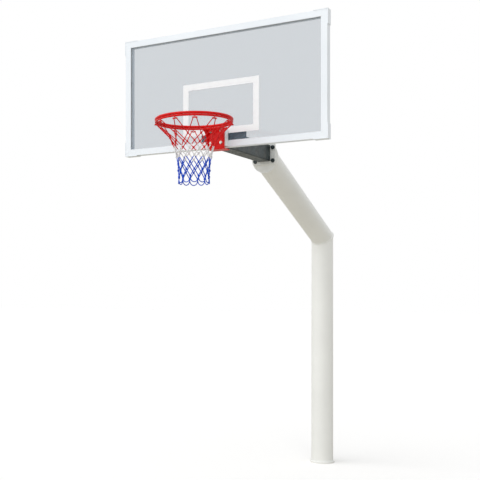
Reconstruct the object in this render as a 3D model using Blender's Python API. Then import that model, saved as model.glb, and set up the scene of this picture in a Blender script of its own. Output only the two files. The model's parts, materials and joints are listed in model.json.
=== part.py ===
# In-ground basketball hoop: bent post, bracket, framed backboard, fixed rim and knotted net
# Metres, +Z up. The origin is on the ground at the post's axis, and the board faces -Y
import math

import bmesh
import bpy
from mathutils import Matrix, Vector
from mathutils.geometry import tessellate_polygon

# Clearance that touching pieces keep
SEAT_GAP = 0.0003

# Heights and reach that set out the whole hoop
RIM_HEIGHT = 3.05
RIM_ABOVE_EDGE = 0.148
OVERHANG = 2.30
ARM_ELEVATION = math.radians(24.0)

# Post, arm and ground sleeve
TUBE_RADIUS = 0.1095
TUBE_WALL = 0.006
TUBE_SIDES = 56
BURIED_DEPTH = 0.60
SLEEVE_CLEARANCE = 0.0015
SLEEVE_WALL = 0.006
SLEEVE_BASE = 0.008
COLLAR_WIDTH = 0.0125
COLLAR_RISE = 0.020
COLLAR_SINK = 0.012
COLLAR_CHAMFER = 0.004
WELD_LEG = 0.011
WELD_RISE = 0.004

# End plate of the arm, and the bracket's flange that bolts to it
FLANGE_BEHIND_BOARD = 0.866
END_PLATE_RIM = 0.016
FLANGE_ABOVE_ARM = 0.025
FLANGE_WIDTH = 0.214
FLANGE_HEIGHT = 0.180
FLANGE_THICKNESS = 0.014
FLANGE_CORNER = 0.010
FLANGE_BOLT_SPREAD = 0.168
FLANGE_BOLT_PITCH = 0.116
FLANGE_BOLT_RADIUS = 0.009

# Bracket beam and the plate that carries the board
BEAM_WIDTH = 0.120
BEAM_HEIGHT = 0.145
BEAM_WALL = 0.008
BEAM_CORNER = 0.010
BEAM_BELOW_BOARD = 0.0055
BEAM_ABOVE_FLANGE_CENTRE = 0.010
BOARD_PLATE_WIDTH = 0.400
BOARD_PLATE_HEIGHT = 0.140
BOARD_PLATE_THICKNESS = 0.010

# Backboard
BOARD_WIDTH = 1.80
BOARD_HEIGHT = 0.965
FRAME_FACE = 0.050
FRAME_DEPTH = 0.060
FRAME_LIP = 0.004
GROOVE_DEPTH = 0.014
PANEL_THICKNESS = 0.012
PANEL_EDGE_CLEARANCE = 0.003
GASKET_WALL = 0.0015
GASKET_SHOW = 0.0025
CAP_LEG = 0.112
CAP_WALL = 0.005
CAP_PROUD = 0.002
TARGET_WIDTH = 0.680
TARGET_HEIGHT = 0.426
TARGET_LINE = 0.050
TARGET_THICKNESS = 0.0008
TARGET_ABOVE_EDGE = 0.109

# Rim
RING_RADIUS = 0.289
RING_BAR_RADIUS = 0.010
LOWER_BAR_RADIUS = 0.0075
RING_SIDES = 60
BAR_SIDES = 12
RING_CENTRE_FROM_BOARD = 0.430
SPACER_WIDTH = 0.144
SPACER_DEPTH = 0.062
SPACER_WALL = 0.006
SPACER_TOP_DROP = 0.006
RIM_PLATE_WIDTH = 0.150
RIM_PLATE_THICKNESS = 0.010
RIM_PLATE_TOP_DROP = 0.004
RIM_FLANGE_THICKNESS = 0.008
RIM_FLANGE_REACH = 0.020
RIM_FLANGE_DROP = 0.018
RIM_BOLT_SPREAD = 0.090
RIM_BOLT_PITCH = 0.094
RIM_BOLT_RADIUS = 0.006
BUSH_WALL = 0.004
GUSSET_THICKNESS = 0.008
GUSSET_TOE = 0.030
GUSSET_ABOVE_RING_CENTRE = 0.003
GUSSET_HOLLOW_REACH = 0.9
GUSSET_ARC_STEPS = 8

# Hooks and net
HOOK_COUNT = 12
HOOK_ROD_RADIUS = 0.0025
HOOK_ROD_SIDES = 6
HOOK_DIP_SPREAD = 0.023
HOOK_DIP_WIDTH = 0.013
HOOK_CREST_WIDTH = 0.006
HOOK_DROP = 0.0145
HOOK_TIP_RISE = 0.0075
HOOK_TIP_LEAN = 0.0015
CORD_RADIUS = 0.0042
CORD_CORNER_SHARE = 1.12
CROSSING_END = math.radians(5.0)
CROSSING_DRIFT = 0.5
CROSSING_STEPS = 4
CORD_EASE = 0.0007
KNOT_REACH = 0.0100
KNOT_WIDTH_SHARE = 0.7
KNOT_DEPTH = 0.0054
FIRST_ROW_DROP = 0.130
ROW_PITCH = 0.051
NET_LENGTH = 0.483
NET_THROAT_RADIUS = 0.117
NET_TAPER_POWER = 2.8
RED_ROW_COUNT = 2
WHITE_ROW_COUNT = 2
BLUE_ROW_COUNT = 3
RED_TO_WHITE = 0.5
WHITE_TO_BLUE = 0.2

# Bolts: the reaches and the washer's thickness are in shank radii
BOLT_CLEARANCE = 0.001
BOLT_SIDES = 12
BOLT_HEAD_REACH = 1.85
BOLT_WASHER_REACH = 2.1
BOLT_WASHER_THICKNESS = 0.3
FLANGE_BOLT_HEAD = 0.011
RIM_BOLT_HEAD = 0.007

# Places and heights that follow from the sizes above
BEND_TURN = math.pi / 2.0 - ARM_ELEVATION
BOARD_FACE_Y = -OVERHANG
BOARD_BACK_Y = BOARD_FACE_Y + FRAME_DEPTH
BOARD_BOTTOM = RIM_HEIGHT - RIM_ABOVE_EDGE
BOARD_CENTRE_Z = BOARD_BOTTOM + BOARD_HEIGHT / 2.0
PANEL_FRONT_Y = BOARD_FACE_Y + FRAME_LIP + GASKET_WALL
BEAM_BOTTOM = BOARD_BOTTOM - BEAM_BELOW_BOARD
BEAM_CENTRE_Z = BEAM_BOTTOM + BEAM_HEIGHT / 2.0
FLANGE_Y = BOARD_FACE_Y + FLANGE_BEHIND_BOARD
FLANGE_CENTRE_Z = BEAM_CENTRE_Z - BEAM_ABOVE_FLANGE_CENTRE
ARM_END_Y = FLANGE_Y + FLANGE_THICKNESS + SEAT_GAP
ARM_AXIS_Z = FLANGE_CENTRE_Z - FLANGE_ABOVE_ARM
BEND_HEIGHT = ARM_AXIS_Z + ARM_END_Y * math.tan(ARM_ELEVATION)
RING_CENTRE_Y = BOARD_FACE_Y - RING_CENTRE_FROM_BOARD
SPACER_BACK_Y = BOARD_FACE_Y - SEAT_GAP
RIM_PLATE_BACK_Y = SPACER_BACK_Y - SPACER_DEPTH - SEAT_GAP
RIM_PLATE_FRONT_Y = RIM_PLATE_BACK_Y - RIM_PLATE_THICKNESS
RIM_PLATE_TOP = RIM_HEIGHT - RIM_PLATE_TOP_DROP
RIM_FLANGE_TOP = BOARD_BOTTOM - RIM_FLANGE_DROP
GUSSET_SPREAD = RIM_PLATE_WIDTH - GUSSET_THICKNESS
RIM_BOLT_CENTRE_Z = BOARD_BOTTOM + (FRAME_FACE + RIM_BOLT_PITCH) / 2.0
LOWER_BAR_Z = RIM_HEIGHT - RING_BAR_RADIUS - LOWER_BAR_RADIUS - SEAT_GAP
HOOK_TOP_Z = LOWER_BAR_Z - LOWER_BAR_RADIUS - SEAT_GAP
HOOK_BAR_Z = HOOK_TOP_Z - HOOK_DROP
CORD_CORNER = CORD_RADIUS * CORD_CORNER_SHARE


def clear_scene():
    for item in list(bpy.data.objects):
        bpy.data.objects.remove(item, do_unlink=True)


def make_material(name, colour, roughness, metallic, alpha=1.0):
    material = bpy.data.materials.new(name)
    material.use_nodes = True
    shader = material.node_tree.nodes["Principled BSDF"]
    shader.inputs["Base Color"].default_value = (*colour, 1.0)
    shader.inputs["Roughness"].default_value = roughness
    shader.inputs["Metallic"].default_value = metallic
    shader.inputs["Alpha"].default_value = alpha
    return material


def finish(mesh, name, material, location=(0.0, 0.0, 0.0), rotation=(0.0, 0.0, 0.0)):
    """Turn a bmesh into a named object with outward normals, placed by its own transform."""
    bmesh.ops.recalc_face_normals(mesh, faces=mesh.faces[:])
    data = bpy.data.meshes.new(name)
    mesh.to_mesh(data)
    mesh.free()
    data.materials.append(material)
    item = bpy.data.objects.new(name, data)
    item.location = location
    item.rotation_euler = rotation
    bpy.context.scene.collection.objects.link(item)
    return item


# Outlines

def rectangle(width, height, corner=0.0, steps=3):
    """Points round a rectangle about its centre, counter-clockwise, with rounded corners."""
    if corner == 0.0:
        return [(x * width / 2.0, y * height / 2.0) for x, y in ((-1, -1), (1, -1), (1, 1), (-1, 1))]
    points = []
    for quarter, (x, y) in enumerate(((1, 1), (-1, 1), (-1, -1), (1, -1))):
        for step in range(steps + 1):
            angle = math.pi / 2.0 * (quarter + step / steps)
            points.append((x * (width / 2.0 - corner) + corner * math.cos(angle),
                           y * (height / 2.0 - corner) + corner * math.sin(angle)))
    return points


def circle(radius, sides=16, centre=(0.0, 0.0)):
    angles = [2.0 * math.pi * i / sides for i in range(sides)]
    return [(centre[0] + radius * math.cos(a), centre[1] + radius * math.sin(a)) for a in angles]


def four_corners(spread, pitch):
    return [(x * spread / 2.0, z * pitch / 2.0) for x in (-1, 1) for z in (-1, 1)]


# Solids

def bridge(mesh, loops, closed):
    """Skin successive loops of vertices with quads, and cap the ends of an open run."""
    count = len(loops)
    for i in range(count if closed else count - 1):
        one = loops[i]
        two = loops[(i + 1) % count]
        for j in range(len(one)):
            k = (j + 1) % len(one)
            mesh.faces.new((one[j], one[k], two[k], two[j]))
    if not closed:
        mesh.faces.new(loops[0])
        mesh.faces.new(loops[-1])


def plate(outline, holes, thickness):
    """A flat plate in XZ, from y = 0 back to y = thickness, with its holes cut through."""
    mesh = bmesh.new()
    loops = [[Vector((x, z, 0.0)) for x, z in loop] for loop in [outline] + holes]
    flat = [point for loop in loops for point in loop]
    front = [mesh.verts.new((p.x, 0.0, p.y)) for p in flat]
    back = [mesh.verts.new((p.x, thickness, p.y)) for p in flat]
    for a, b, c in tessellate_polygon(loops):
        mesh.faces.new((front[a], front[b], front[c]))
        mesh.faces.new((back[c], back[b], back[a]))
    start = 0
    for loop in loops:
        for i in range(len(loop)):
            a = start + i
            b = start + (i + 1) % len(loop)
            mesh.faces.new((front[a], front[b], back[b], back[a]))
        start += len(loop)
    return mesh


def lathe(profile, sides, closed=True):
    """A (radius, height) profile turned about Z: a ring, or a solid capped at both ends."""
    mesh = bmesh.new()
    loops = []
    for radius, height in profile:
        loops.append([mesh.verts.new((x, y, height)) for x, y in circle(radius, sides)])
    bridge(mesh, loops, closed)
    return mesh


def sliced_tube(low, high):
    """The post's tube about Z, with each end cut at height = offset + slope * y."""
    mesh = bmesh.new()
    inner = TUBE_RADIUS - TUBE_WALL
    loops = []
    for radius, (offset, slope) in ((TUBE_RADIUS, low), (TUBE_RADIUS, high), (inner, high), (inner, low)):
        loops.append([mesh.verts.new((x, y, offset + slope * y)) for x, y in circle(radius, TUBE_SIDES)])
    bridge(mesh, loops, closed=True)
    return mesh


def swept_loop(points, sections):
    """A closed ring: each point carries the offsets of its own section."""
    mesh = bmesh.new()
    loops = []
    for point, section in zip(points, sections):
        loops.append([mesh.verts.new(point + offset) for offset in section])
    bridge(mesh, loops, closed=True)
    return mesh


def path_frames(points, normal):
    """A pair of normals at each point of a path, carried along it without twist."""
    frames = []
    for i in range(len(points)):
        before = points[max(i - 1, 0)]
        after = points[min(i + 1, len(points) - 1)]
        tangent = (after - before).normalized()
        normal = (normal - tangent * normal.dot(tangent)).normalized()
        frames.append((normal, tangent.cross(normal)))
    return frames


def path_sections(mesh, points, radius, sides, normal):
    """Loops of new vertices round each point of a path."""
    loops = []
    for point, (along, across) in zip(points, path_frames(points, normal)):
        loops.append([mesh.verts.new(point + along * x + across * y) for x, y in circle(radius, sides)])
    return loops


def bolt(radius, grip, head):
    """A hexagon bolt along +Y: its head and washer before y = 0, and its shank behind."""
    across = radius * BOLT_HEAD_REACH
    washer = radius * BOLT_WASHER_REACH
    rim = radius * BOLT_WASHER_THICKNESS
    profile = [(across, -rim - head), (across, -rim), (washer, -rim), (washer, 0.0),
               (radius, 0.0), (radius, grip)]
    mesh = bmesh.new()
    loops = []
    for reach, y in profile:
        flat = math.cos(math.pi / 6.0) if reach == across else 1.0
        loop = []
        for i, (x, z) in enumerate(circle(reach, BOLT_SIDES)):
            pull = 1.0 if i % 2 == 0 else flat
            loop.append(mesh.verts.new((x * pull, y, z * pull)))
        loops.append(loop)
    bridge(mesh, loops, closed=False)
    return mesh


# Ground sleeve, post and arm

def build_ground(steel, white):
    inner = TUBE_RADIUS + SLEEVE_CLEARANCE
    outer = inner + SLEEVE_WALL
    floor = -BURIED_DEPTH - SEAT_GAP
    top = -COLLAR_SINK - SEAT_GAP
    sleeve = [(inner, floor), (inner, top), (outer, top), (outer, floor - SLEEVE_BASE)]
    finish(lathe(sleeve, TUBE_SIDES, closed=False), "ground_sleeve", steel)

    seat = TUBE_RADIUS + SEAT_GAP
    edge = TUBE_RADIUS + COLLAR_WIDTH
    collar = [(seat, -COLLAR_SINK), (edge, -COLLAR_SINK), (edge, COLLAR_RISE - COLLAR_CHAMFER),
              (edge - COLLAR_CHAMFER, COLLAR_RISE), (seat, COLLAR_RISE)]
    finish(lathe(collar, TUBE_SIDES), "ground_collar", white)


def build_post(white):
    mitre = math.tan(BEND_TURN / 2.0)
    post = sliced_tube((-BURIED_DEPTH, 0.0), (-SEAT_GAP / 2.0 + BEND_HEIGHT, mitre))
    finish(post, "post_tube", white)

    length = -(ARM_END_Y + SEAT_GAP) / math.sin(BEND_TURN)
    arm = sliced_tube((SEAT_GAP / 2.0, -mitre), (length, 1.0 / math.tan(BEND_TURN)))
    finish(arm, "arm_tube", white, (0.0, 0.0, BEND_HEIGHT), (BEND_TURN, 0.0, 0.0))


def build_mitre_weld(white):
    """The bead round the bend, one toe on the post's tube and the other on the arm's."""
    turn = Matrix.Rotation(BEND_TURN, 3, "X")
    down = Vector((0.0, 0.0, -1.0))
    along_arm = turn @ Vector((0.0, 0.0, 1.0))
    points = []
    sections = []
    for x, y in circle(TUBE_RADIUS, TUBE_SIDES):
        post_out = Vector((x, y, 0.0)).normalized()
        arm_out = turn @ post_out
        seam_out = (post_out + arm_out).normalized()
        points.append(Vector((x, y, y * math.tan(BEND_TURN / 2.0))))
        sections.append([seam_out * 2.0 * SEAT_GAP,
                         post_out * SEAT_GAP + down * WELD_LEG,
                         post_out * WELD_RISE + down * WELD_LEG * 0.5,
                         seam_out * WELD_RISE * 1.4,
                         arm_out * WELD_RISE + along_arm * WELD_LEG * 0.5,
                         arm_out * SEAT_GAP + along_arm * WELD_LEG])
    finish(swept_loop(points, sections), "mitre_weld", white, (0.0, 0.0, BEND_HEIGHT))


def build_flange_weld(white):
    """The fillet bead where the arm's tube meets the back of its flange."""
    turn = Matrix.Rotation(BEND_TURN, 3, "X")
    along_arm = turn @ Vector((0.0, 0.0, 1.0))
    points = []
    sections = []
    for x, y in circle(TUBE_RADIUS, TUBE_SIDES):
        start = turn @ Vector((x, y, 0.0)) + Vector((0.0, 0.0, BEND_HEIGHT))
        reach = (ARM_END_Y - start.y) / along_arm.y
        out = (turn @ Vector((x, y, 0.0))).normalized()
        in_plate = Vector((out.x, 0.0, out.z)).normalized()
        points.append(start + along_arm * reach)
        sections.append([in_plate * 2.0 * SEAT_GAP,
                         in_plate * WELD_LEG * 0.7,
                         out * (SEAT_GAP + WELD_RISE) - along_arm * WELD_LEG * 0.4,
                         out * SEAT_GAP - along_arm * WELD_LEG])
    finish(swept_loop(points, sections), "flange_weld", white)


# Flange joint and bracket

def build_flange_joint(white, steel):
    """The arm's oval end plate, the bracket's smaller flange in front of it, and their bolts."""
    places = four_corners(FLANGE_BOLT_SPREAD, FLANGE_BOLT_PITCH)
    bore = FLANGE_BOLT_RADIUS + BOLT_CLEARANCE
    holes = [circle(bore, 16, (x, z + FLANGE_ABOVE_ARM)) for x, z in places]
    stretch = (TUBE_RADIUS / math.cos(ARM_ELEVATION) + END_PLATE_RIM) / (TUBE_RADIUS + END_PLATE_RIM)
    oval = [(x, z * stretch) for x, z in circle(TUBE_RADIUS + END_PLATE_RIM, TUBE_SIDES)]
    finish(plate(oval, holes, FLANGE_THICKNESS), "arm_flange", white, (0.0, FLANGE_Y, ARM_AXIS_Z))

    front = FLANGE_Y - FLANGE_THICKNESS - SEAT_GAP
    outline = rectangle(FLANGE_WIDTH, FLANGE_HEIGHT, FLANGE_CORNER)
    holes = [circle(bore, 16, place) for place in places]
    finish(plate(outline, holes, FLANGE_THICKNESS), "bracket_flange", white, (0.0, front, FLANGE_CENTRE_Z))
    reach = 2.0 * FLANGE_THICKNESS
    for number, (x, z) in enumerate(places, 1):
        mesh = bolt(FLANGE_BOLT_RADIUS, reach, FLANGE_BOLT_HEAD)
        finish(mesh, f"flange_bolt_{number}", steel, (x, front - SEAT_GAP, FLANGE_CENTRE_Z + z))


def rim_bolt_places():
    return four_corners(RIM_BOLT_SPREAD, RIM_BOLT_PITCH)


def rim_bolt_holes(centre_z, upper_only=False):
    """Holes for the rim's bolts, in the outline of a plate whose centre is at centre_z."""
    holes = []
    for x, z in rim_bolt_places():
        if z > 0.0 or not upper_only:
            holes.append(circle(RIM_BOLT_RADIUS + BOLT_CLEARANCE, 16, (x, RIM_BOLT_CENTRE_Z + z - centre_z)))
    return holes


def build_bracket(steel):
    plate_y = BOARD_BACK_Y + SEAT_GAP
    beam_y = plate_y + BOARD_PLATE_THICKNESS + SEAT_GAP
    length = FLANGE_Y - FLANGE_THICKNESS - 2.0 * SEAT_GAP - beam_y
    outer = rectangle(BEAM_WIDTH, BEAM_HEIGHT, BEAM_CORNER)
    inner = rectangle(BEAM_WIDTH - 2.0 * BEAM_WALL, BEAM_HEIGHT - 2.0 * BEAM_WALL)
    finish(plate(outer, [inner], length), "bracket_beam", steel, (0.0, beam_y, BEAM_CENTRE_Z))

    centre = BOARD_BOTTOM + BOARD_PLATE_HEIGHT / 2.0
    outline = rectangle(BOARD_PLATE_WIDTH, BOARD_PLATE_HEIGHT, FLANGE_CORNER)
    finish(plate(outline, rim_bolt_holes(centre), BOARD_PLATE_THICKNESS), "board_plate", steel,
           (0.0, plate_y, centre))


# Backboard

def mitred_rail(length):
    """A rail along X whose grooved section runs inwards (+Z) from the board's outer edge."""
    groove = FRAME_FACE - GROOVE_DEPTH
    slot_back = FRAME_LIP + PANEL_THICKNESS + 2.0 * GASKET_WALL
    section = [(0.0, 0.0), (FRAME_FACE, 0.0), (FRAME_FACE, FRAME_LIP), (groove, FRAME_LIP),
               (groove, slot_back), (FRAME_FACE, slot_back), (FRAME_FACE, FRAME_DEPTH), (0.0, FRAME_DEPTH)]
    mesh = bmesh.new()
    loops = []
    for side in (-1.0, 1.0):
        loops.append([mesh.verts.new((side * (length / 2.0 - inward - SEAT_GAP * 0.75), back, inward))
                      for inward, back in section])
    bridge(mesh, loops, closed=False)
    return mesh


def bolt_cutter():
    """Two cylinders that bore the bottom rail for the rim's lower bolts."""
    mesh = bmesh.new()
    for x, z in rim_bolt_places():
        if z < 0.0:
            loops = []
            for y in (-FRAME_DEPTH, 2.0 * FRAME_DEPTH):
                loops.append([mesh.verts.new((a, y, b))
                              for a, b in circle(RIM_BOLT_RADIUS + BOLT_CLEARANCE, 16, (x, z))])
            bridge(mesh, loops, closed=False)
    cutter = finish(mesh, "rim_bolt_bores", None, (0.0, BOARD_FACE_Y, RIM_BOLT_CENTRE_Z))
    cutter.hide_render = True
    cutter.display_type = "WIRE"
    return cutter


def build_frame(cool_white):
    rails = (("frame_bottom", BOARD_WIDTH, BOARD_HEIGHT, 0.0), ("frame_left", BOARD_HEIGHT, BOARD_WIDTH, 0.5),
             ("frame_top", BOARD_WIDTH, BOARD_HEIGHT, 1.0), ("frame_right", BOARD_HEIGHT, BOARD_WIDTH, 1.5))
    for name, length, across, half_turns in rails:
        angle = half_turns * math.pi
        place = Matrix.Rotation(angle, 3, "Y") @ Vector((0.0, 0.0, -across / 2.0))
        place += Vector((0.0, BOARD_FACE_Y, BOARD_CENTRE_Z))
        rail = finish(mitred_rail(length), name, cool_white, place, (0.0, angle, 0.0))
        if name == "frame_bottom":
            bore = rail.modifiers.new("bolt_bores", "BOOLEAN")
            bore.operation = "DIFFERENCE"
            bore.object = bolt_cutter()


def build_caps(cool_white):
    """An angle wrapped round each corner of the frame, a little proud of it."""
    half_width = BOARD_WIDTH / 2.0 + SEAT_GAP
    half_height = BOARD_HEIGHT / 2.0 + SEAT_GAP
    for vertical, z in (("bottom", -1.0), ("top", 1.0)):
        for side, x in (("left", -1.0), ("right", 1.0)):
            corner = [(half_width, half_height - CAP_LEG), (half_width + CAP_WALL, half_height - CAP_LEG),
                      (half_width + CAP_WALL, half_height + CAP_WALL),
                      (half_width - CAP_LEG, half_height + CAP_WALL), (half_width - CAP_LEG, half_height),
                      (half_width, half_height)]
            outline = [(x * a, z * b) for a, b in corner]
            mesh = plate(outline, [], FRAME_DEPTH + 2.0 * CAP_PROUD)
            finish(mesh, f"corner_cap_{vertical}_{side}", cool_white,
                   (0.0, BOARD_FACE_Y - CAP_PROUD, BOARD_CENTRE_Z))


def build_panel(clear, rubber, white):
    groove = FRAME_FACE - GROOVE_DEPTH
    edge = groove + PANEL_EDGE_CLEARANCE
    front = FRAME_LIP + GASKET_WALL
    back = front + PANEL_THICKNESS
    outline = rectangle(BOARD_WIDTH - 2.0 * edge, BOARD_HEIGHT - 2.0 * edge)
    mesh = plate(outline, rim_bolt_holes(BOARD_CENTRE_Z, upper_only=True), PANEL_THICKNESS)
    finish(mesh, "panel", clear, (0.0, PANEL_FRONT_Y, BOARD_CENTRE_Z))

    show = FRAME_FACE + GASKET_SHOW
    section = [(groove + SEAT_GAP, FRAME_LIP + SEAT_GAP), (show, FRAME_LIP + SEAT_GAP), (show, front - SEAT_GAP),
               (edge - SEAT_GAP, front - SEAT_GAP), (edge - SEAT_GAP, back + SEAT_GAP), (show, back + SEAT_GAP),
               (show, back + GASKET_WALL - SEAT_GAP), (groove + SEAT_GAP, back + GASKET_WALL - SEAT_GAP)]
    corners = []
    sections = []
    for x, z in ((-1.0, -1.0), (1.0, -1.0), (1.0, 1.0), (-1.0, 1.0)):
        corners.append(Vector((x * BOARD_WIDTH / 2.0, 0.0, z * BOARD_HEIGHT / 2.0)))
        sections.append([Vector((-x * inward, depth, -z * inward)) for inward, depth in section])
    finish(swept_loop(corners, sections), "panel_gasket", rubber, (0.0, BOARD_FACE_Y, BOARD_CENTRE_Z))

    centre = BOARD_BOTTOM + TARGET_ABOVE_EDGE + TARGET_HEIGHT / 2.0
    outer = rectangle(TARGET_WIDTH, TARGET_HEIGHT)
    inner = rectangle(TARGET_WIDTH - 2.0 * TARGET_LINE, TARGET_HEIGHT - 2.0 * TARGET_LINE)
    mesh = plate(outer, [inner] + rim_bolt_holes(centre, upper_only=True), TARGET_THICKNESS)
    finish(mesh, "target_square", white, (0.0, PANEL_FRONT_Y - SEAT_GAP - TARGET_THICKNESS, centre))


# Rim

def build_rim_mount(red, white, rubber, zinc):
    bottom = BOARD_BOTTOM + SEAT_GAP
    top = RIM_PLATE_TOP - SPACER_TOP_DROP
    centre = (bottom + top) / 2.0
    outer = rectangle(SPACER_WIDTH, top - bottom)
    inner = rectangle(SPACER_WIDTH - 2.0 * SPACER_WALL, top - bottom - 2.0 * SPACER_WALL)
    finish(plate(outer, [inner], SPACER_DEPTH), "rim_spacer", white,
           (0.0, SPACER_BACK_Y - SPACER_DEPTH, centre))

    pad_bottom = BOARD_BOTTOM + FRAME_FACE + GASKET_SHOW + SEAT_GAP
    pad_centre = (pad_bottom + top) / 2.0
    pad_back = PANEL_FRONT_Y - TARGET_THICKNESS - 2.0 * SEAT_GAP
    mesh = plate(rectangle(SPACER_WIDTH, top - pad_bottom), rim_bolt_holes(pad_centre, upper_only=True),
                 pad_back - BOARD_FACE_Y)
    finish(mesh, "spacer_pad", rubber, (0.0, BOARD_FACE_Y, pad_centre))

    plate_bottom = RIM_FLANGE_TOP + SEAT_GAP
    plate_centre = (plate_bottom + RIM_PLATE_TOP) / 2.0
    outline = rectangle(RIM_PLATE_WIDTH, RIM_PLATE_TOP - plate_bottom)
    finish(plate(outline, rim_bolt_holes(plate_centre), RIM_PLATE_THICKNESS), "rim_plate", red,
           (0.0, RIM_PLATE_FRONT_Y, plate_centre))

    reach = BOARD_FACE_Y + RIM_FLANGE_REACH - RIM_PLATE_FRONT_Y
    finish(plate(rectangle(RIM_PLATE_WIDTH, RIM_FLANGE_THICKNESS), [], reach), "rim_flange", red,
           (0.0, RIM_PLATE_FRONT_Y, RIM_FLANGE_TOP - RIM_FLANGE_THICKNESS / 2.0))

    bolt_front = RIM_PLATE_FRONT_Y - SEAT_GAP
    grip = BOARD_BACK_Y + BOARD_PLATE_THICKNESS - bolt_front
    for number, (x, z) in enumerate(rim_bolt_places(), 1):
        mesh = bolt(RIM_BOLT_RADIUS, grip, RIM_BOLT_HEAD)
        finish(mesh, f"rim_bolt_{number}", zinc, (x, bolt_front, RIM_BOLT_CENTRE_Z + z))


def build_bushes(zinc):
    """Tubes that keep the panel from bending where the upper bolts pass behind it."""
    bore = RIM_BOLT_RADIUS + BOLT_CLEARANCE
    front = PANEL_FRONT_Y + PANEL_THICKNESS + SEAT_GAP
    length = BOARD_BACK_Y - front
    for side, x in (("left", -1.0), ("right", 1.0)):
        mesh = plate(circle(bore + BUSH_WALL), [circle(bore)], length)
        finish(mesh, f"panel_bush_{side}", zinc,
               (x * RIM_BOLT_SPREAD / 2.0, front, RIM_BOLT_CENTRE_Z + RIM_BOLT_PITCH / 2.0))


def ring_bar(name, bar_radius, height, red):
    profile = [(RING_RADIUS + r, z) for r, z in circle(bar_radius, BAR_SIDES)]
    finish(lathe(profile, RING_SIDES), name, red, (0.0, RING_CENTRE_Y, height))


def ring_reach(x):
    """How far behind its centre the faceted ring's outer edge stands, at x to one side."""
    edge = [point for point in circle(RING_RADIUS + RING_BAR_RADIUS, RING_SIDES) if point[1] > 0.0]
    for (right_x, right_y), (left_x, left_y) in zip(edge, edge[1:]):
        if left_x <= x <= right_x:
            return left_y + (right_y - left_y) * (x - left_x) / (right_x - left_x)


def build_gussets(red):
    """Upright plates from the rim's plate to its ring, each with a hollowed lower edge."""
    inside = GUSSET_SPREAD / 2.0 - GUSSET_THICKNESS / 2.0
    front = RING_CENTRE_Y + ring_reach(inside) + SEAT_GAP
    back = RIM_PLATE_FRONT_Y - SEAT_GAP
    bottom = RIM_FLANGE_TOP + SEAT_GAP
    hollow_height = RIM_PLATE_TOP - GUSSET_TOE - bottom
    outline = [(back, RIM_PLATE_TOP), (front, RIM_HEIGHT + GUSSET_ABOVE_RING_CENTRE)]
    for step in range(GUSSET_ARC_STEPS + 1):
        angle = math.pi / 2.0 * step / GUSSET_ARC_STEPS
        outline.append((front + (back - front) * GUSSET_HOLLOW_REACH * math.sin(angle),
                        bottom + hollow_height * math.cos(angle)))
    outline.append((back, bottom))
    for side, x in (("left", -1.0), ("right", 1.0)):
        mesh = plate(outline, [], GUSSET_THICKNESS)
        start = x * GUSSET_SPREAD / 2.0 + GUSSET_THICKNESS / 2.0
        finish(mesh, f"rim_gusset_{side}", red, (start, 0.0, 0.0), (0.0, 0.0, math.pi / 2.0))


def build_hooks(red):
    """Rods bent in a wave: each crest meets the lower bar, and a net loop rests in its two dips."""
    crest_z = -HOOK_ROD_RADIUS * math.cos(math.pi / HOOK_ROD_SIDES)
    shoulder = (HOOK_CREST_WIDTH / 2.0, crest_z)
    inner = (HOOK_DIP_SPREAD / 2.0 - HOOK_DIP_WIDTH / 2.0, -HOOK_DROP)
    outer = (HOOK_DIP_SPREAD / 2.0 + HOOK_DIP_WIDTH / 2.0, -HOOK_DROP)
    tip = (outer[0] + HOOK_TIP_LEAN, HOOK_TIP_RISE - HOOK_DROP)
    right = [shoulder, inner, outer, tip]
    outline = [(-x, z) for x, z in reversed(right)] + [(0.0, crest_z)] + right
    points = [Vector((x, 0.0, z)) for x, z in outline]
    side = Vector((0.0, 1.0, 0.0))
    for number in range(HOOK_COUNT):
        angle = 2.0 * math.pi * number / HOOK_COUNT
        mesh = bmesh.new()
        bridge(mesh, path_sections(mesh, points, HOOK_ROD_RADIUS, HOOK_ROD_SIDES, side), closed=False)
        place = (RING_RADIUS * math.cos(angle), RING_CENTRE_Y + RING_RADIUS * math.sin(angle), HOOK_TOP_Z)
        finish(mesh, f"net_hook_{number + 1:02d}", red, place, (0.0, 0.0, angle + math.pi / 2.0))


# Net: each knot is a small lozenge whose four sides each carry one cord

def net_radius(drop):
    """The net's radius at a height below the ring: wide at the hooks, then a narrow throat."""
    left = 1.0 - drop / NET_LENGTH
    return NET_THROAT_RADIUS + (RING_RADIUS - NET_THROAT_RADIUS) * left ** NET_TAPER_POWER


def row_drop(row):
    return FIRST_ROW_DROP + (row - 1) * ROW_PITCH


def net_point(turn, drop, radius=None):
    """A point on the net, where turn counts hooks round the ring."""
    angle = 2.0 * math.pi * turn / HOOK_COUNT
    reach = net_radius(drop) if radius is None else radius
    return Vector((reach * math.cos(angle), reach * math.sin(angle), -drop))


def knot_turn(row, index):
    return index + 0.5 * (row % 2)


def knot_frame(row, index):
    """A knot's centre, its outward direction, and its four corners by name."""
    turn = knot_turn(row, index)
    angle = 2.0 * math.pi * turn / HOOK_COUNT
    centre = net_point(turn, row_drop(row))
    above = net_point(turn, row_drop(row) - ROW_PITCH / 2.0)
    up = (above - centre).normalized()
    right = Vector((-math.sin(angle), math.cos(angle), 0.0))
    corners = {"up": up * KNOT_REACH, "right": right * KNOT_REACH * KNOT_WIDTH_SHARE,
               "down": up * -KNOT_REACH, "left": right * KNOT_REACH * -KNOT_WIDTH_SHARE}
    return centre, right.cross(up), corners


def knot_side_place(row, index, side):
    """The middle of the side that faces between two corners, such as up_right."""
    centre, _, corners = knot_frame(row, index)
    one, two = side.split("_")
    return centre + (corners[one] + corners[two]) / 2.0


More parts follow.
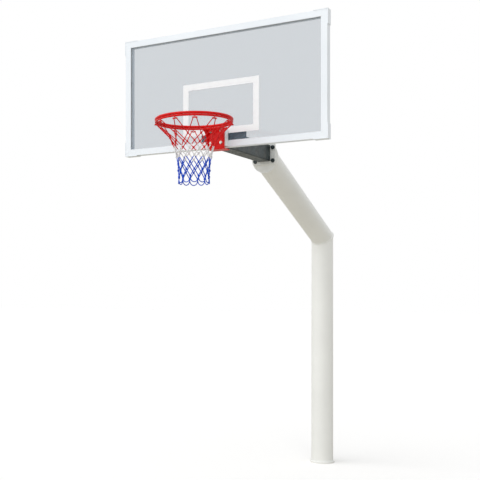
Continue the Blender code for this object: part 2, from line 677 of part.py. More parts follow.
def add_knot(mesh, row, index):
    """Eight vertices and two faces of a knot, and its four open sides by name."""
    centre, out, corners = knot_frame(row, index)
    outer = {}
    inner = {}
    for name, offset in corners.items():
        outer[name] = mesh.verts.new(centre + offset + out * KNOT_DEPTH)
        inner[name] = mesh.verts.new(centre + offset - out * KNOT_DEPTH)
    mesh.faces.new([outer[name] for name in corners])
    mesh.faces.new([inner[name] for name in corners])
    sides = {}
    for one, two in (("up", "right"), ("down", "right"), ("down", "left"), ("up", "left")):
        sides[f"{one}_{two}"] = [outer[one], outer[two], inner[two], inner[one]]
    return sides


def row_links(row):
    """The cords from one row of knots to the row below: both indices and both sides."""
    links = []
    for index in range(HOOK_COUNT):
        right = (index + row % 2) % HOOK_COUNT
        left = (right - 1) % HOOK_COUNT
        links.append((index, "down_right", right, "up_left"))
        links.append((index, "down_left", left, "up_right"))
    return links


def side_centre(side):
    return sum((vertex.co for vertex in side), Vector()) / 4.0


def closest_order(side, section):
    """The side's four vertices in the order that lies nearest the section's own."""
    orders = []
    for run in (side, side[::-1]):
        orders += [run[shift:] + run[:shift] for shift in range(4)]
    return min(orders, key=lambda order: sum((a.co - b.co).length for a, b in zip(order, section)))


def add_cord(mesh, start_side, points, end_side=None):
    """A four-sided cord from one knot's side to another's, or to a cut end."""
    normal = start_side[0].co - side_centre(start_side)
    loops = path_sections(mesh, points, CORD_CORNER, 4, normal)
    skin = [closest_order(start_side, loops[0])] + loops
    if end_side:
        skin.append(closest_order(end_side, loops[-1]))
    else:
        mesh.faces.new(loops[-1])
    for one, two in zip(skin, skin[1:]):
        for j in range(4):
            k = (j + 1) % 4
            mesh.faces.new((one[j], one[k], two[k], two[j]))


def between(start, end, shares):
    return [start.lerp(end, share) for share in shares]


def hook_crossing(index, side, slope, share):
    """A point of the loop from where it meets a hook's dip (0) to behind the crest (1)."""
    angle = 2.0 * math.pi * index / HOOK_COUNT
    out = Vector((math.cos(angle), math.sin(angle), 0.0))
    along = Vector((-math.sin(angle), math.cos(angle), 0.0))
    reach = HOOK_ROD_RADIUS + CORD_RADIUS + CORD_EASE
    leave = slope + math.pi / 2.0
    turn = leave + (CROSSING_END - leave) * share
    lift = Vector((0.0, 0.0, HOOK_BAR_Z - RIM_HEIGHT + reach * math.sin(turn)))
    offset = side * HOOK_DIP_SPREAD / 2.0 * (1.0 - CROSSING_DRIFT * share ** 3)
    return out * (RING_RADIUS + reach * math.cos(turn)) + along * offset + lift


def add_top_loop(mesh, index, knots):
    """The loop that rises to a hook, rests in both its dips and passes behind its crest."""
    start_side = knots[1, (index - 1) % HOOK_COUNT]["up_right"]
    end_side = knots[1, index]["up_left"]
    start = side_centre(start_side)
    end = side_centre(end_side)
    rise = FIRST_ROW_DROP - RIM_HEIGHT + HOOK_BAR_Z
    slope = math.atan2(rise, RING_RADIUS - net_radius(FIRST_ROW_DROP))
    shares = [step / CROSSING_STEPS for step in range(CROSSING_STEPS + 1)]
    up = [hook_crossing(index, -1.0, slope, share) for share in shares]
    down = [hook_crossing(index, 1.0, slope, share) for share in reversed(shares)]
    points = between(start, up[0], (0.12, 0.88)) + up + down + between(down[-1], end, (0.12, 0.88))
    add_cord(mesh, start_side, points, end_side)


def add_bottom_loop(mesh, index, row, knots):
    """The hanging loop between two neighbours of the last row."""
    start_side = knots[row, index]["down_right"]
    end_side = knots[row, (index + 1) % HOOK_COUNT]["down_left"]
    start = side_centre(start_side)
    end = side_centre(end_side)
    lowest = net_point(knot_turn(row, index) + 0.5, NET_LENGTH)
    sag = lowest - (start + end) / 2.0
    points = []
    for step in range(1, 8):
        share = step / 8.0
        spread = 0.5 - 0.5 * math.cos(math.pi * share)
        points.append(start.lerp(end, spread) + sag * math.sin(math.pi * share) ** 0.75)
    add_cord(mesh, start_side, points, end_side)


def add_cut_cords(mesh, upper_row, knots, share):
    """Cords between two colours, cut at a share of the way down with a seat gap left open."""
    for index, down_side, below, up_side in row_links(upper_row):
        top = knot_side_place(upper_row, index, down_side)
        foot = knot_side_place(upper_row + 1, below, up_side)
        half_gap = SEAT_GAP / (2.0 * (foot - top).length)
        if (upper_row, index) in knots:
            start_side = knots[upper_row, index][down_side]
            add_cord(mesh, start_side, between(top, foot, (share * 0.4, share - half_gap)))
        else:
            start_side = knots[upper_row + 1, below][up_side]
            rest = 1.0 - share
            add_cord(mesh, start_side, between(foot, top, (rest * 0.3, rest - half_gap)))


def build_net_zone(name, rows, colour, cuts):
    """One colour of the net: its rows of knots and the cords between them."""
    first, last = rows
    mesh = bmesh.new()
    knots = {}
    for row in range(first, last + 1):
        for index in range(HOOK_COUNT):
            knots[row, index] = add_knot(mesh, row, index)
    for row in range(first, last):
        for index, down_side, below, up_side in row_links(row):
            start_side = knots[row, index][down_side]
            end_side = knots[row + 1, below][up_side]
            points = between(side_centre(start_side), side_centre(end_side), (0.2, 0.8))
            add_cord(mesh, start_side, points, end_side)
    cut_above, cut_below = cuts
    if cut_above is None:
        for index in range(HOOK_COUNT):
            add_top_loop(mesh, index, knots)
    else:
        add_cut_cords(mesh, first - 1, knots, cut_above)
    if cut_below is None:
        for index in range(HOOK_COUNT):
            add_bottom_loop(mesh, index, last, knots)
    else:
        add_cut_cords(mesh, last, knots, cut_below)
    finish(mesh, name, colour, (0.0, RING_CENTRE_Y, RIM_HEIGHT))


def main():
    clear_scene()
    white = make_material("white_powder_coat", (0.82, 0.82, 0.79), 0.38, 0.0)
    cool_white = make_material("white_frame", (0.85, 0.89, 0.94), 0.38, 0.0)
    steel = make_material("galvanised_steel", (0.10, 0.15, 0.19), 0.42, 0.85)
    zinc = make_material("zinc_bolt", (0.62, 0.62, 0.60), 0.35, 0.9)
    clear = make_material("clear_panel", (0.27, 0.31, 0.36), 0.08, 0.0, 0.27)
    rubber = make_material("black_gasket", (0.03, 0.03, 0.03), 0.7, 0.0)
    line_white = make_material("white_line", (0.90, 0.91, 0.93), 0.5, 0.0)
    red = make_material("red_enamel", (0.72, 0.01, 0.015), 0.3, 0.0)
    cord_red = make_material("red_cord", (0.62, 0.02, 0.03), 0.8, 0.0)
    cord_white = make_material("white_cord", (0.86, 0.86, 0.86), 0.8, 0.0)
    cord_blue = make_material("blue_cord", (0.01, 0.04, 0.38), 0.8, 0.0)

    build_ground(steel, white)
    build_post(white)
    build_mitre_weld(white)
    build_flange_weld(white)
    build_flange_joint(white, steel)
    build_bracket(steel)
    build_frame(cool_white)
    build_caps(cool_white)
    build_panel(clear, rubber, line_white)
    build_rim_mount(red, white, rubber, zinc)
    build_bushes(zinc)
    ring_bar("rim_ring", RING_BAR_RADIUS, RIM_HEIGHT, red)
    ring_bar("net_rail", LOWER_BAR_RADIUS, LOWER_BAR_Z, red)
    build_gussets(red)
    build_hooks(red)
    white_start = 1 + RED_ROW_COUNT
    blue_start = white_start + WHITE_ROW_COUNT
    last = blue_start + BLUE_ROW_COUNT - 1
    build_net_zone("net_red", (1, white_start - 1), cord_red, (None, RED_TO_WHITE))
    build_net_zone("net_white", (white_start, blue_start - 1), cord_white, (RED_TO_WHITE, WHITE_TO_BLUE))
    build_net_zone("net_blue", (blue_start, last), cord_blue, (WHITE_TO_BLUE, None))


main()
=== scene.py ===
# Surfaces, laid-cord net and soft studio light for the in-ground basketball hoop
import json
import math

import bpy
from mathutils import Matrix, Vector


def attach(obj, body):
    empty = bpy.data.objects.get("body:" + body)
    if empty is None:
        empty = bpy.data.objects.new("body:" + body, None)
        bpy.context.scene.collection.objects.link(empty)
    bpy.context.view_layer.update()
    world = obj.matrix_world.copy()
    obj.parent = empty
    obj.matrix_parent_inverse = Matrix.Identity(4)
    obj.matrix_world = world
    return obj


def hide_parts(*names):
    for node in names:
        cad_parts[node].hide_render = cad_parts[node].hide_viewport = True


# Net: the same lattice as the solid net, in metres
HOOK_COUNT = 12
RING_CENTRE = Vector((0.0, -2.73, 3.05))
RING_RADIUS = 0.289
HOOK_BAR_DROP = 0.0401
HOOK_ROD_RADIUS = 0.0025
HOOK_DIP_SPREAD = 0.023
CROSSING_END = math.radians(5.0)
CROSSING_DRIFT = 0.5
CROSSING_STEPS = 12
CORD_RADIUS = 0.0042
CORD_REST = 0.0002
CORD_PITCH = 0.028
CORD_STEP = 0.0042
FIRST_ROW_DROP = 0.130
ROW_PITCH = 0.051
NET_LENGTH = 0.483
NET_THROAT_RADIUS = 0.117
NET_TAPER_POWER = 2.8
ROW_COUNT = 7
LAST_RED_ROW = 2
LAST_WHITE_ROW = 4
RED_TO_WHITE = 0.5
WHITE_TO_BLUE = 0.2
KNOT_CORD_SHARE = 0.8
KNOT_COIL_SHARE = 1.35
KNOT_RISE_SHARE = 1.55
KNOT_TURNS = 2.0
KNOT_STEPS_PER_TURN = 14
HANGING_LOOP_STEPS = 20
HANGING_LOOP_FULLNESS = 0.75
STRAND_OFFSET = 0.46
STRAND_RADIUS = 0.54

# Bend weld
TUBE_RADIUS = 0.1095
ARM_ELEVATION = math.radians(24.0)
BEND_HEIGHT = 2.3019
BEAD_RADIUS = 0.0058
BEAD_STEPS = 420
BEAD_RIPPLES = 70
BEAD_SIDES = 10
BEAD_FLATNESS = 1.7
BEAD_LOW_SHARE = 0.90
BEAD_RIPPLE_SHARE = 0.14

# Camera: level, as the photograph's upright post and board sides show, with the lens shifted
FOCAL_PIXELS = 873.0
CENTRE_X = 170.0
CENTRE_Y = 290.5
FRAME_PIXELS = 480.0
CAMERA_PLACE = Vector((3.1893, -8.5224, 1.7578))
CAMERA_YAW = -0.5308

# Light, and the floor's own glow to the camera that hides its far edge
SKY_STRENGTH = 0.68
KEY_STRENGTH = 1.62
KEY_SOFTNESS = math.radians(95.0)
KEY_FROM = Vector((-0.28, -0.78, 0.56))
FLOOR_LIFT = 0.07
FLOOR_REACH = 60.0
FLOOR_BOUNCE = (0.60, 0.57, 0.50, 1.0)
FLOOR_SEEN = (1.0, 0.985, 0.965, 1.0)

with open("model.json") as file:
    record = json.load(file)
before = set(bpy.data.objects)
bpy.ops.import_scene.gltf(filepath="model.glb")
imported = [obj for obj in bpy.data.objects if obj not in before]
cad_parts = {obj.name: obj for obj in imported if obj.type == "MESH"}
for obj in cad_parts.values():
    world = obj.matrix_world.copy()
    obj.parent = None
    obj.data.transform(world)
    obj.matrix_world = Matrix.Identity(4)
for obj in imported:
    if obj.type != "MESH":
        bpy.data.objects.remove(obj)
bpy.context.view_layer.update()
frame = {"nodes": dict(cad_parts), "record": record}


# Node helpers

def new_material(name):
    material = bpy.data.materials.new(name)
    material.use_nodes = True
    tree = material.node_tree
    return material, tree, tree.nodes["Principled BSDF"]


def add_node(tree, kind, **values):
    node = tree.nodes.new(kind)
    for key, value in values.items():
        if key in node.inputs:
            node.inputs[key].default_value = value
        else:
            setattr(node, key, value)
    return node


def position(tree):
    return add_node(tree, "ShaderNodeNewGeometry").outputs["Position"]


def noise(tree, scale, detail=3.0, roughness=0.5, stretch=None):
    """A noise value from a point's place on the object, stretched along axes if asked."""
    node = add_node(tree, "ShaderNodeTexNoise", Scale=scale, Detail=detail, Roughness=roughness)
    place = position(tree)
    if stretch:
        mapping = add_node(tree, "ShaderNodeMapping")
        mapping.inputs["Scale"].default_value = stretch
        tree.links.new(place, mapping.inputs["Vector"])
        place = mapping.outputs["Vector"]
    tree.links.new(place, node.inputs["Vector"])
    return node.outputs["Fac"]


def ramp(tree, value, stops):
    node = add_node(tree, "ShaderNodeValToRGB")
    ladder = node.color_ramp.elements
    while len(ladder) < len(stops):
        ladder.new(0.5)
    for step, (place, colour) in zip(ladder, stops):
        step.position = place
        step.color = (*colour, 1.0)
    tree.links.new(value, node.inputs["Fac"])
    return node.outputs["Color"]


def map_range(tree, value, from_low, from_high, to_low, to_high):
    node = add_node(tree, "ShaderNodeMapRange")
    keys = ("From Min", "From Max", "To Min", "To Max")
    for key, number in zip(keys, (from_low, from_high, to_low, to_high)):
        node.inputs[key].default_value = number
    tree.links.new(value, node.inputs["Value"])
    return node.outputs["Result"]


def blend_colours(tree, share, one, two, mode="MIX"):
    node = add_node(tree, "ShaderNodeMix", data_type="RGBA", blend_type=mode)
    for key, source in ((0, share), (6, one), (7, two)):
        if isinstance(source, (tuple, float)):
            node.inputs[key].default_value = source
        else:
            tree.links.new(source, node.inputs[key])
    return node.outputs[2]


def add_bump(tree, shader, height, strength, distance):
    node = add_node(tree, "ShaderNodeBump", Strength=strength, Distance=distance)
    tree.links.new(height, node.inputs["Height"])
    tree.links.new(node.outputs["Normal"], shader.inputs["Normal"])


def set_finish(shader, **values):
    for key, value in values.items():
        shader.inputs[key.replace("_", " ")].default_value = value


# Materials

def white_powder_coat():
    """Warm white powder coat: a fine orange-peel skin, with a little court dust at the foot."""
    material, tree, shader = new_material("white_powder_coat_look")
    tone = ramp(tree, noise(tree, 2.2, 4.0), [(0.35, (0.86, 0.865, 0.84)), (0.65, (0.90, 0.905, 0.88))])
    axes = add_node(tree, "ShaderNodeSeparateXYZ")
    tree.links.new(position(tree), axes.inputs["Vector"])
    low = map_range(tree, axes.outputs["Z"], 0.02, 0.22, 0.05, 0.0)
    dust = add_node(tree, "ShaderNodeMath", operation="MULTIPLY")
    tree.links.new(low, dust.inputs[0])
    tree.links.new(noise(tree, 22.0, 5.0, 0.65), dust.inputs[1])
    colour = blend_colours(tree, dust.outputs[0], tone, (0.46, 0.42, 0.35, 1.0))
    tree.links.new(colour, shader.inputs["Base Color"])
    tree.links.new(map_range(tree, noise(tree, 9.0), 0.3, 0.7, 0.34, 0.46), shader.inputs["Roughness"])
    add_bump(tree, shader, noise(tree, 420.0, 2.0), 0.10, 0.0006)
    return material


def white_frame():
    """Cool white powder coat of the board's frame, a little smoother than the post's."""
    material, tree, shader = new_material("white_frame_look")
    tone = ramp(tree, noise(tree, 3.0, 4.0), [(0.35, (0.84, 0.89, 0.945)), (0.65, (0.88, 0.925, 0.975))])
    tree.links.new(tone, shader.inputs["Base Color"])
    tree.links.new(map_range(tree, noise(tree, 12.0), 0.3, 0.7, 0.32, 0.44), shader.inputs["Roughness"])
    add_bump(tree, shader, noise(tree, 420.0, 2.0), 0.08, 0.0005)
    return material


def galvanised_steel():
    """Dark blue-grey zinc: crystal spangle and faint brown run-off streaks."""
    material, tree, shader = new_material("galvanised_steel_look")
    spangle = add_node(tree, "ShaderNodeTexVoronoi", Scale=70.0, Randomness=1.0)
    tree.links.new(position(tree), spangle.inputs["Vector"])
    flake = add_node(tree, "ShaderNodeSeparateColor")
    tree.links.new(spangle.outputs["Color"], flake.inputs["Color"])
    tone = ramp(tree, flake.outputs["Red"], [(0.0, (0.024, 0.035, 0.038)), (1.0, (0.046, 0.064, 0.068))])
    streak = map_range(tree, noise(tree, 14.0, 5.0, 0.6, (1.0, 1.0, 0.25)), 0.48, 0.72, 0.0, 0.55)
    tree.links.new(blend_colours(tree, streak, tone, (0.075, 0.060, 0.045, 1.0)), shader.inputs["Base Color"])
    tree.links.new(map_range(tree, flake.outputs["Green"], 0.0, 1.0, 0.34, 0.52), shader.inputs["Roughness"])
    set_finish(shader, Metallic=0.55)
    add_bump(tree, shader, noise(tree, 160.0, 3.0), 0.12, 0.0005)
    return material


def zinc_bolt():
    """Zinc plate: pale grey metal with turning marks and a faint yellow cast."""
    material, tree, shader = new_material("zinc_bolt_look")
    tone = ramp(tree, noise(tree, 60.0, 3.0), [(0.3, (0.58, 0.57, 0.53)), (0.7, (0.72, 0.72, 0.71))])
    tree.links.new(tone, shader.inputs["Base Color"])
    tree.links.new(map_range(tree, noise(tree, 240.0), 0.3, 0.7, 0.26, 0.42), shader.inputs["Roughness"])
    set_finish(shader, Metallic=0.9)
    add_bump(tree, shader, noise(tree, 500.0, 2.0, 0.5, (1.0, 6.0, 1.0)), 0.15, 0.0003)
    return material


def clear_panel():
    """A clear sheet with a light grey cast, and faint wipe marks that show only in its gloss."""
    material, tree, shader = new_material("clear_panel_look")
    tone = ramp(tree, noise(tree, 1.4, 2.0), [(0.3, (0.188, 0.262, 0.340)), (0.7, (0.196, 0.270, 0.348))])
    tree.links.new(tone, shader.inputs["Base Color"])
    wipes = noise(tree, 7.0, 5.0, 0.6, (1.0, 1.0, 0.35))
    tree.links.new(map_range(tree, wipes, 0.35, 0.7, 0.05, 0.16), shader.inputs["Roughness"])
    set_finish(shader, Alpha=0.27, IOR=1.49)
    add_bump(tree, shader, noise(tree, 3.0, 1.0), 0.03, 0.0008)
    return material


def black_gasket():
    """Rubber painted pale grey instead of black: painted light that lightens the shaded line round the sheet.
    """
    material, tree, shader = new_material("black_gasket_look")
    # Painted light: the black rubber is given a pale grey to lift the shade in the groove round the sheet.
    tone = ramp(tree, noise(tree, 35.0, 4.0), [(0.3, (0.66, 0.67, 0.68)), (0.7, (0.73, 0.74, 0.75))])
    tree.links.new(tone, shader.inputs["Base Color"])
    tree.links.new(map_range(tree, noise(tree, 90.0), 0.3, 0.7, 0.6, 0.8), shader.inputs["Roughness"])
    add_bump(tree, shader, noise(tree, 700.0, 2.0), 0.2, 0.0003)
    return material


def white_line():
    """Screen paint on the sheet: flat white with a slight brush of unevenness."""
    material, tree, shader = new_material("white_line_look")
    tone = ramp(tree, noise(tree, 18.0, 4.0), [(0.3, (0.885, 0.90, 0.925)), (0.7, (0.93, 0.94, 0.955))])
    tree.links.new(tone, shader.inputs["Base Color"])
    tree.links.new(map_range(tree, noise(tree, 40.0), 0.3, 0.7, 0.42, 0.56), shader.inputs["Roughness"])
    add_bump(tree, shader, noise(tree, 300.0, 2.0), 0.08, 0.0003)
    return material


def red_enamel():
    """Glossy red enamel: deep colour pooled unevenly, with a clear sprayed skin."""
    material, tree, shader = new_material("red_enamel_look")
    tone = ramp(tree, noise(tree, 26.0, 4.0), [(0.3, (0.66, 0.002, 0.002)), (0.7, (0.78, 0.005, 0.004))])
    tree.links.new(tone, shader.inputs["Base Color"])
    tree.links.new(map_range(tree, noise(tree, 70.0), 0.3, 0.7, 0.30, 0.44), shader.inputs["Roughness"])
    set_finish(shader, Coat_Weight=0.05, Coat_Roughness=0.2, Specular_IOR_Level=0.2)
    add_bump(tree, shader, noise(tree, 380.0, 2.0), 0.12, 0.0005)
    return material


def cord_material(name, dark, light):
    """Dyed cord: fibres along the lay, worn paler where the strands stand proud."""
    material, tree, shader = new_material(name)
    tone = ramp(tree, noise(tree, 130.0, 5.0, 0.65), [(0.3, dark), (0.7, light)])
    tree.links.new(tone, shader.inputs["Base Color"])
    set_finish(shader, Roughness=0.85, Sheen_Weight=0.06, Sheen_Roughness=0.5)
    add_bump(tree, shader, noise(tree, 1400.0, 3.0, 0.6), 0.5, 0.0004)
    return material


def dress_frame():
    """Give every solid the finish of its slot in the record, and return the finishes by slot."""
    looks = {
        "white_powder_coat": white_powder_coat(),
        "white_frame": white_frame(),
        "galvanised_steel": galvanised_steel(),
        "zinc_bolt": zinc_bolt(),
        "clear_panel": clear_panel(),
        "black_gasket": black_gasket(),
        "white_line": white_line(),
        "red_enamel": red_enamel(),
        "red_cord": cord_material("red_cord_look", (0.70, 0.004, 0.005), (0.90, 0.010, 0.012)),
        "white_cord": cord_material("white_cord_look", (0.86, 0.86, 0.87), (0.95, 0.95, 0.95)),
        "blue_cord": cord_material("blue_cord_look", (0.001, 0.070, 0.60), (0.002, 0.115, 0.86)),
    }
    for entry in frame["record"]["subparts"]:
        node = frame["nodes"][entry["node"]]
        node.material_slots[0].material = looks[entry["material_slot"]]
    return looks


# Laid cord

def resample(points, step):
    """The same path with its points an even step apart."""
    lengths = [0.0]
    for one, two in zip(points, points[1:]):
        lengths.append(lengths[-1] + (two - one).length)
    count = max(2, round(lengths[-1] / step))
    even = []
    span = 0
    for i in range(count + 1):
        want = lengths[-1] * i / count
        while span < len(points) - 2 and lengths[span + 1] < want:
            span += 1
        share = (want - lengths[span]) / max(lengths[span + 1] - lengths[span], 1e-9)
        even.append(points[span].lerp(points[span + 1], min(max(share, 0.0), 1.0)))
    return even


def strand_outline(sides=12):
    """The outline of three round strands laid together, for a cord of radius 1."""
    outline = []
    for j in range(sides):
        angle = 2.0 * math.pi * j / sides
        off = (angle + math.pi / 3.0) % (2.0 * math.pi / 3.0) - math.pi / 3.0
        across = STRAND_OFFSET * math.sin(off)
        reach = STRAND_OFFSET * math.cos(off) + math.sqrt(STRAND_RADIUS ** 2 - across ** 2)
        outline.append((angle, reach))
    return outline


def lay_cord(store, path, radius):
    """Add one run of laid cord, capped at both ends, to a (vertices, faces) store."""
    vertices, faces = store
    points = resample(path, CORD_STEP)
    outline = strand_outline()
    sides = len(outline)
    start = len(vertices)
    tangent = (points[1] - points[0]).normalized()
    normal = tangent.orthogonal().normalized()
    travelled = 0.0
    for i, point in enumerate(points):
        ahead = points[min(i + 1, len(points) - 1)]
        behind = points[max(i - 1, 0)]
        tangent = (ahead - behind).normalized()
        normal = (normal - tangent * normal.dot(tangent)).normalized()
        across = tangent.cross(normal)
        twist = 2.0 * math.pi * travelled / CORD_PITCH
        for angle, reach in outline:
            turn = angle + twist
            vertices.append(point + (normal * math.cos(turn) + across * math.sin(turn)) * radius * reach)
        if i:
            low = start + (i - 1) * sides
            for j in range(sides):
                k = (j + 1) % sides
                faces.append((low + j, low + k, low + sides + k, low + sides + j))
        travelled += (ahead - point).length
    faces.append(tuple(range(start + sides - 1, start - 1, -1)))
    faces.append(tuple(range(len(vertices) - sides, len(vertices))))


def add_piece(name, store, material, slot_name, *nodes):
    """A smooth mesh piece on the root body that stands for the named solids."""
    vertices, faces = store
    data = bpy.data.meshes.new(name)
    data.from_pydata([tuple(v) for v in vertices], [], faces)
    data.polygons.foreach_set("use_smooth", [True] * len(data.polygons))
    data.materials.append(material)
    piece = bpy.data.objects.new(name, data)
    bpy.context.scene.collection.objects.link(piece)
    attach(piece, "root")
    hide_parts(*nodes)
    return piece


# Net

def net_radius(drop):
    left = 1.0 - drop / NET_LENGTH
    return NET_THROAT_RADIUS + (RING_RADIUS - NET_THROAT_RADIUS) * left ** NET_TAPER_POWER


def net_point(turn, drop, radius=None):
    angle = 2.0 * math.pi * turn / HOOK_COUNT
    reach = net_radius(drop) if radius is None else radius
    return RING_CENTRE + Vector((reach * math.cos(angle), reach * math.sin(angle), -drop))


def knot_turn(row, index):
    return index + 0.5 * (row % 2)


def knot_centre(row, index):
    return net_point(knot_turn(row, index), FIRST_ROW_DROP + (row - 1) * ROW_PITCH)


def lay_knot(store, row, index):
    """Two close wraps of cord round the crossing."""
    centre = knot_centre(row, index)
    turn = knot_turn(row, index)
    above = net_point(turn, FIRST_ROW_DROP + (row - 1.5) * ROW_PITCH)
    up = (above - centre).normalized()
    angle = 2.0 * math.pi * turn / HOOK_COUNT
    right = Vector((-math.sin(angle), math.cos(angle), 0.0))
    out = right.cross(up)
    coil = CORD_RADIUS * KNOT_COIL_SHARE
    rise = CORD_RADIUS * KNOT_RISE_SHARE
    path = []
    steps = round(KNOT_TURNS * KNOT_STEPS_PER_TURN)
    for i in range(steps + 1):
        wrap = KNOT_TURNS * i / steps
        around = 2.0 * math.pi * wrap
        lift = (wrap - KNOT_TURNS / 2.0) * rise
        path.append(centre + right * coil * math.sin(around) - out * coil * math.cos(around) + up * lift)
    lay_cord(store, path, CORD_RADIUS * KNOT_CORD_SHARE)


def hook_crossing(index, side, slope, share):
    """A point of the loop from where it meets a hook's dip (0) to behind the crest (1)."""
    angle = 2.0 * math.pi * index / HOOK_COUNT
    along = Vector((-math.sin(angle), math.cos(angle), 0.0))
    reach = HOOK_ROD_RADIUS + CORD_RADIUS + CORD_REST
    leave = slope + math.pi / 2.0
    turn = leave + (CROSSING_END - leave) * share
    offset = side * HOOK_DIP_SPREAD / 2.0 * (1.0 - CROSSING_DRIFT * share ** 3)
    point = net_point(index, HOOK_BAR_DROP - reach * math.sin(turn), RING_RADIUS + reach * math.cos(turn))
    return point + along * offset


def hook_loop(index):
    """From a knot, over one dip of a hook, behind its crest, over the other and down."""
    rise = FIRST_ROW_DROP - HOOK_BAR_DROP
    slope = math.atan2(rise, RING_RADIUS - net_radius(FIRST_ROW_DROP))
    shares = [step / CROSSING_STEPS for step in range(CROSSING_STEPS + 1)]
    up = [hook_crossing(index, -1.0, slope, share) for share in shares]
    down = [hook_crossing(index, 1.0, slope, share) for share in reversed(shares)]
    return [knot_centre(1, index - 1)] + up + down + [knot_centre(1, index)]


def hanging_loop(index):
    """The loop that hangs between two neighbours of the last row."""
    start = knot_centre(ROW_COUNT, index)
    end = knot_centre(ROW_COUNT, index + 1)
    lowest = net_point(knot_turn(ROW_COUNT, index) + 0.5, NET_LENGTH)
    sag = lowest - (start + end) / 2.0
    path = []
    for i in range(HANGING_LOOP_STEPS + 1):
        share = i / HANGING_LOOP_STEPS
        spread = 0.5 - 0.5 * math.cos(math.pi * share)
        path.append(start.lerp(end, spread) + sag * math.sin(math.pi * share) ** HANGING_LOOP_FULLNESS)
    return path


def zone_of(row):
    if row <= LAST_RED_ROW:
        return "net_red"
    return "net_white" if row <= LAST_WHITE_ROW else "net_blue"


def make_net(looks):
    stores = {name: ([], []) for name in ("net_red", "net_white", "net_blue")}
    cuts = {LAST_RED_ROW: RED_TO_WHITE, LAST_WHITE_ROW: WHITE_TO_BLUE}
    for row in range(1, ROW_COUNT + 1):
        for index in range(HOOK_COUNT):
            lay_knot(stores[zone_of(row)], row, index)
            if row == ROW_COUNT:
                continue
            start = knot_centre(row, index)
            right = index + row % 2
            for below in (right, right - 1):
                end = knot_centre(row + 1, below)
                if row in cuts:
                    middle = start.lerp(end, cuts[row])
                    lay_cord(stores[zone_of(row)], [start, middle], CORD_RADIUS)
                    lay_cord(stores[zone_of(row + 1)], [middle, end], CORD_RADIUS)
                else:
                    lay_cord(stores[zone_of(row)], [start, end], CORD_RADIUS)
    for index in range(HOOK_COUNT):
        lay_cord(stores["net_red"], hook_loop(index), CORD_RADIUS)
        lay_cord(stores["net_blue"], hanging_loop(index), CORD_RADIUS)
    for name, colour in (("net_red", "red_cord"), ("net_white", "white_cord"), ("net_blue", "blue_cord")):
        add_piece(f"{name}_laid", stores[name], looks[colour], colour, name)


# Weld

def make_bend_weld(looks):
    """The bead round the bend, rippled as each stitch of weld freezes over the last."""
    bend = math.pi / 2.0 - ARM_ELEVATION
    vertices = []
    faces = []
    for i in range(BEAD_STEPS):
        angle = 2.0 * math.pi * i / BEAD_STEPS
        out = Vector((math.cos(angle), math.sin(angle), 0.0))
        slope = math.tan(bend / 2.0)
        centre = Vector((out.x * TUBE_RADIUS, out.y * TUBE_RADIUS, BEND_HEIGHT + out.y * TUBE_RADIUS * slope))
        tangent = Vector((-out.y, out.x, out.x * slope)).normalized()
        seam_out = (out + Matrix.Rotation(bend, 3, "X") @ out).normalized()
        side = tangent.cross(seam_out).normalized()
        ripple = abs(math.sin(BEAD_RIPPLES * angle / 2.0))
        radius = BEAD_RADIUS * (BEAD_LOW_SHARE + BEAD_RIPPLE_SHARE * ripple)
        for j in range(BEAD_SIDES):
            turn = 2.0 * math.pi * j / BEAD_SIDES
            flat = side * radius * BEAD_FLATNESS * math.cos(turn)
            vertices.append(centre + flat + seam_out * radius * math.sin(turn))
        low = i * BEAD_SIDES
        high = (i + 1) % BEAD_STEPS * BEAD_SIDES
        for j in range(BEAD_SIDES):
            k = (j + 1) % BEAD_SIDES
            faces.append((low + j, low + k, high + k, high + j))
    slot_name = "white_powder_coat"
    add_piece("mitre_weld_bead", (vertices, faces), looks[slot_name], slot_name, "mitre_weld")


# Floor, light and camera

def make_floor():
    """A pale floor: white to the camera, warm to the light that it throws back up."""
    material, tree, shader = new_material("studio_floor")
    path = add_node(tree, "ShaderNodeLightPath")
    colour = blend_colours(tree, path.outputs["Is Camera Ray"], FLOOR_BOUNCE, FLOOR_SEEN)
    tree.links.new(colour, shader.inputs["Base Color"])
    set_finish(shader, Roughness=1.0, Specular_IOR_Level=0.0, Emission_Color=(1.0, 1.0, 1.0, 1.0))
    lift = map_range(tree, path.outputs["Is Camera Ray"], 0.0, 1.0, 0.0, FLOOR_LIFT)
    tree.links.new(lift, shader.inputs["Emission Strength"])
    data = bpy.data.meshes.new("studio_floor")
    corners = [(x * FLOOR_REACH, y * FLOOR_REACH, 0.0) for x, y in ((-1, -1), (1, -1), (1, 1), (-1, 1))]
    data.from_pydata(corners, [], [(0, 1, 2, 3)])
    data.materials.append(material)
    floor = bpy.data.objects.new("studio_floor", data)
    bpy.context.scene.collection.objects.link(floor)


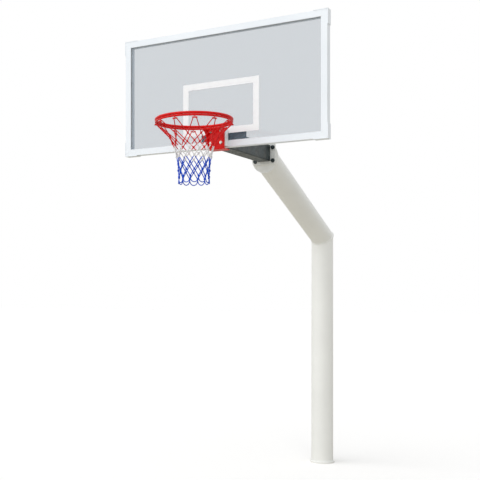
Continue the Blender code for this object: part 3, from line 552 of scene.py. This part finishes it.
def make_world():
    world = bpy.data.worlds.new("studio_sky")
    bpy.context.scene.world = world
    world.use_nodes = True
    tree = world.node_tree
    tree.nodes.clear()
    path = add_node(tree, "ShaderNodeLightPath")
    seen = path.outputs["Is Camera Ray"]
    for kind in ("Is Glossy Ray", "Is Transmission Ray"):
        either = add_node(tree, "ShaderNodeMath", operation="MAXIMUM")
        tree.links.new(seen, either.inputs[0])
        tree.links.new(path.outputs[kind], either.inputs[1])
        seen = either.outputs[0]
    light = add_node(tree, "ShaderNodeBackground", Color=(0.96, 0.98, 1.0, 1.0), Strength=SKY_STRENGTH)
    white = add_node(tree, "ShaderNodeBackground", Color=(1.0, 1.0, 1.0, 1.0), Strength=1.0)
    mix = add_node(tree, "ShaderNodeMixShader")
    tree.links.new(seen, mix.inputs[0])
    tree.links.new(light.outputs[0], mix.inputs[1])
    tree.links.new(white.outputs[0], mix.inputs[2])
    output = add_node(tree, "ShaderNodeOutputWorld")
    tree.links.new(mix.outputs[0], output.inputs["Surface"])


def make_key():
    lamp = bpy.data.lights.new("key", "SUN")
    lamp.energy = KEY_STRENGTH
    lamp.angle = KEY_SOFTNESS
    key = bpy.data.objects.new("key", lamp)
    key.rotation_euler = KEY_FROM.to_track_quat("Z", "Y").to_euler()
    bpy.context.scene.collection.objects.link(key)


def make_camera():
    lens = bpy.data.cameras.new("camera")
    lens.sensor_width = 36.0
    lens.lens = FOCAL_PIXELS * lens.sensor_width / FRAME_PIXELS
    lens.shift_x = (FRAME_PIXELS / 2.0 - CENTRE_X) / FRAME_PIXELS
    lens.shift_y = (CENTRE_Y - FRAME_PIXELS / 2.0) / FRAME_PIXELS
    forward = Vector((math.sin(CAMERA_YAW), math.cos(CAMERA_YAW), 0.0))
    right = Vector((math.cos(CAMERA_YAW), -math.sin(CAMERA_YAW), 0.0))
    up = right.cross(forward)
    camera = bpy.data.objects.new("camera", lens)
    turn = Matrix((right, up, -forward)).transposed()
    camera.matrix_world = Matrix.Translation(CAMERA_PLACE) @ turn.to_4x4()
    bpy.context.scene.collection.objects.link(camera)
    bpy.context.scene.camera = camera


bpy.context.scene.view_settings.view_transform = "Standard"
finishes = dress_frame()
make_net(finishes)
make_bend_weld(finishes)
make_floor()
make_world()
make_key()
make_camera()
